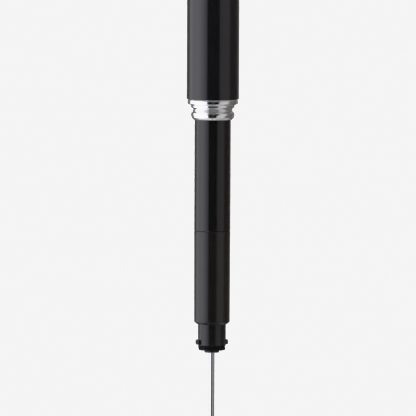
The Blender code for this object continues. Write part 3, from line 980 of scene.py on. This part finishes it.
def make_studio():
    """Soft light all round: a large soft box to the left, a weaker one to the right that leans
    in towards its foot, a dark gap between them where the camera stands, and pale surroundings
    above and below.

    Bearings are in degrees from the camera's side, positive to the right."""
    world = bpy.data.worlds.new("studio")
    bpy.context.scene.world = world
    world.use_nodes = True
    tree = world.node_tree
    tree.nodes.clear()

    direction = tree.nodes.new("ShaderNodeTexCoord").outputs["Generated"]
    axes = tree.nodes.new("ShaderNodeSeparateXYZ")
    tree.links.new(direction, axes.inputs[0])
    across, away, up = axes.outputs
    toward = math_node(tree, "MULTIPLY", away, -1.0)
    bearing = math_node(tree, "ARCTAN2", across, toward)
    elevation = math_node(tree, "ARCSINE", up)
    lean = 0.28  # turn of the right box per turn of elevation
    on_the_right = share_between(tree, bearing, math.radians(-5), math.radians(20))
    shift = math_node(tree, "MULTIPLY", elevation, -lean)
    shift = math_node(tree, "MULTIPLY", shift, on_the_right)
    bearing = math_node(tree, "ADD", bearing, shift)

    boxes = [
        (-180, 0.05),
        (-160, 0.08),
        (-152, 0.26),
        (-134, 0.28),
        (-129, 0.5),
        (-125, 1.2),
        (-117, 1.9),
        (-110, 2.25),
        (-92, 2.5),
        (-78, 3.05),
        (-70, 3.2),
        (-60, 3),
        (-46, 2.3),
        (-32, 1.4),
        (-27.5, 1.1),
        (-23.5, 0.08),
        (-17, 0.012),
        (-9, 0.008),
        (2, 0.05),
        (13, 0.008),
        (24, 0.01),
        (27.5, 0.05),
        (33, 0.62),
        (42, 0.74),
        (66, 0.79),
        (79, 0.58),
        (84, 0.27),
        (93, 0.17),
        (130, 0.12),
        (150, 0.35),
        (160, 0.08),
        (180, 0.05),
    ]
    brightest = 3.2
    around = ramp_node(tree, bearing, [(turn, [level] * 3) for turn, level in boxes], brightest)
    around = math_node(tree, "MULTIPLY", around, brightest)
    strongest = 1.2
    tints = [
        (-180, (1, 1, 1)),
        (-110, (0.995, 0.98, 1.06)),
        (-55, (0.98, 0.98, 1.07)),
        (-28, (0.94, 0.95, 1.14)),
        (-18, (1, 1, 1)),
        (28, (1.06, 0.97, 0.92)),
        (40, (1.03, 0.97, 1.0)),
        (75, (1.04, 0.97, 1.0)),
        (95, (1.1, 0.96, 0.92)),
        (140, (1.15, 0.95, 0.85)),
        (180, (1, 1, 1)),
    ]
    tint = ramp_node(tree, bearing, tints, strongest)

    # The boxes end above and below, where a share of their level goes on over a plain base.
    weak_limit, zenith_level = 0.77, 6.6
    weak = math_node(tree, "MINIMUM", around, weak_limit)
    overhead = math_node(tree, "MULTIPLY_ADD", weak, 0.3, 0.24)
    overhead = math_node(tree, "MULTIPLY_ADD", around, 0.1, overhead)
    above = share_between(tree, elevation, math.radians(4), math.radians(20))
    level = mix_levels(tree, around, overhead, above)
    zenith = share_between(tree, elevation, math.radians(62), math.radians(74))
    level = mix_levels(tree, level, zenith_level, zenith)
    ground = math_node(tree, "MULTIPLY_ADD", weak, 0.35, 0.53)
    ground = math_node(tree, "MULTIPLY_ADD", around, 0.03, ground)
    below = share_between(tree, elevation, math.radians(-32), math.radians(-48))
    level = mix_levels(tree, level, ground, below)
    strength = math_node(tree, "MULTIPLY", level, strongest)

    # The tint fades out away from the horizon, so that it doesn't colour the floor.
    tinted = background_node(tree, tint, strength)
    white = background_node(tree, (1, 1, 1, 1), level)
    slope = math_node(tree, "ABSOLUTE", elevation)
    steep = share_between(tree, slope, math.radians(8), math.radians(30))
    light = mix_node(tree, steep, tinted, white)
    backdrop = background_node(tree, (0.92, 0.92, 0.923, 1), 1.0)
    seen = tree.nodes.new("ShaderNodeLightPath").outputs["Is Camera Ray"]
    output = tree.nodes.new("ShaderNodeOutputWorld")
    tree.links.new(mix_node(tree, seen, light, backdrop), output.inputs["Surface"])


def make_camera():
    """The photograph's view: from the front, tipped and rolled slightly."""
    data = bpy.data.cameras.new("camera")
    data.sensor_width = SENSOR
    data.lens = SENSOR * CAMERA_DISTANCE / FRAME_WIDTH
    data.clip_end = 100
    camera = bpy.data.objects.new("camera", data)
    bpy.context.scene.collection.objects.link(camera)
    back = Vector((0, -math.cos(CAMERA_ELEVATION), math.sin(CAMERA_ELEVATION)))
    aim = (-back).to_track_quat("-Z", "Y").to_matrix() @ Matrix.Rotation(CAMERA_ROLL, 3, "Z")
    camera.location = FRAME_CENTRE + CAMERA_DISTANCE * back
    camera.rotation_euler = aim.to_euler()
    bpy.context.scene.camera = camera


def set_film_response():
    """Leaves dark tones as they are, deepens the middle ones and rolls the brightest off."""
    view = bpy.context.scene.view_settings
    view.view_transform = "Standard"
    view.use_curve_mapping = True
    response = view.curve_mapping
    response.use_clip = False
    response.clip_max_x = 4.0
    all_channels = 3
    curve = response.curves[all_channels]
    curve.points[1].location = (3.2, 0.99)
    tones = [
        (0.06, 0.06),
        (0.12, 0.118),
        (0.2, 0.17),
        (0.35, 0.27),
        (0.5, 0.4),
        (0.65, 0.55),
        (0.8, 0.73),
        (0.92, 0.85),
        (1.2, 0.915),
        (1.8, 0.945),
    ]
    for light, tone in tones:
        curve.points.new(light, tone)
    response.update()


slots = {part["node"]: part["material_slot"] for part in frame["record"]["subparts"]}
finishes = {
    "handle_black": gloss_plastic("handle_black", (0.0056, 0.0053, 0.0061), 0.08, 0.36),
    "sleeve_black": gloss_plastic("sleeve_black", (0.0078, 0.0074, 0.0067), 0.18, 0.32),
    "barrel_black": anodised("barrel_black", (0.0050, 0.0046, 0.0047), 0.10, 0.32),
    "chrome_plate": chrome_plate("chrome_plate", (0.8, 0.805, 0.815), 0.035),
    "needle_steel": drawn_metal("needle_steel", (0.56, 0.57, 0.59), 0.2),
    "plain_steel": turned_metal("plain_steel", (0.55, 0.56, 0.58), 0.25),
    "black_steel": turned_metal("black_steel", (0.02, 0.02, 0.022), 0.4, 0.6),
    "bare_aluminium": turned_metal("bare_aluminium", (0.72, 0.73, 0.75), 0.28),
    "white_acetal": machined_plastic("white_acetal", (0.72, 0.71, 0.67), 0.42),
    "black_acetal": machined_plastic("black_acetal", (0.015, 0.015, 0.016), 0.4),
    "seal_rubber": moulded_rubber("seal_rubber", (0.01, 0.01, 0.01), 0.55),
    "pad_rubber": moulded_rubber("pad_rubber", (0.004, 0.0036, 0.0036), 0.6, 0.06),
}
# The nose has the sleeve's slot, but a slightly cooler and smoother finish of its own.
nose_black = gloss_plastic("nose_black", (0.0076, 0.0074, 0.0078), 0.15, 0.28)

for node, part in frame["nodes"].items():
    part.data.materials.clear()
    part.data.materials.append(finishes[slots[node]])

make_camera()
make_floor()
make_studio()
set_film_response()
make_handle()
make_collar()
make_barrel()
make_valve()
make_piston()
make_cap_screw("piston_screw", 1.6, 2.6, False)
make_cap_screw("rod_screw", 2.4, 2.8, True)
make_seal_rings()
make_ejector()
make_guide()
make_needle()

bpy.context.view_layer.update()
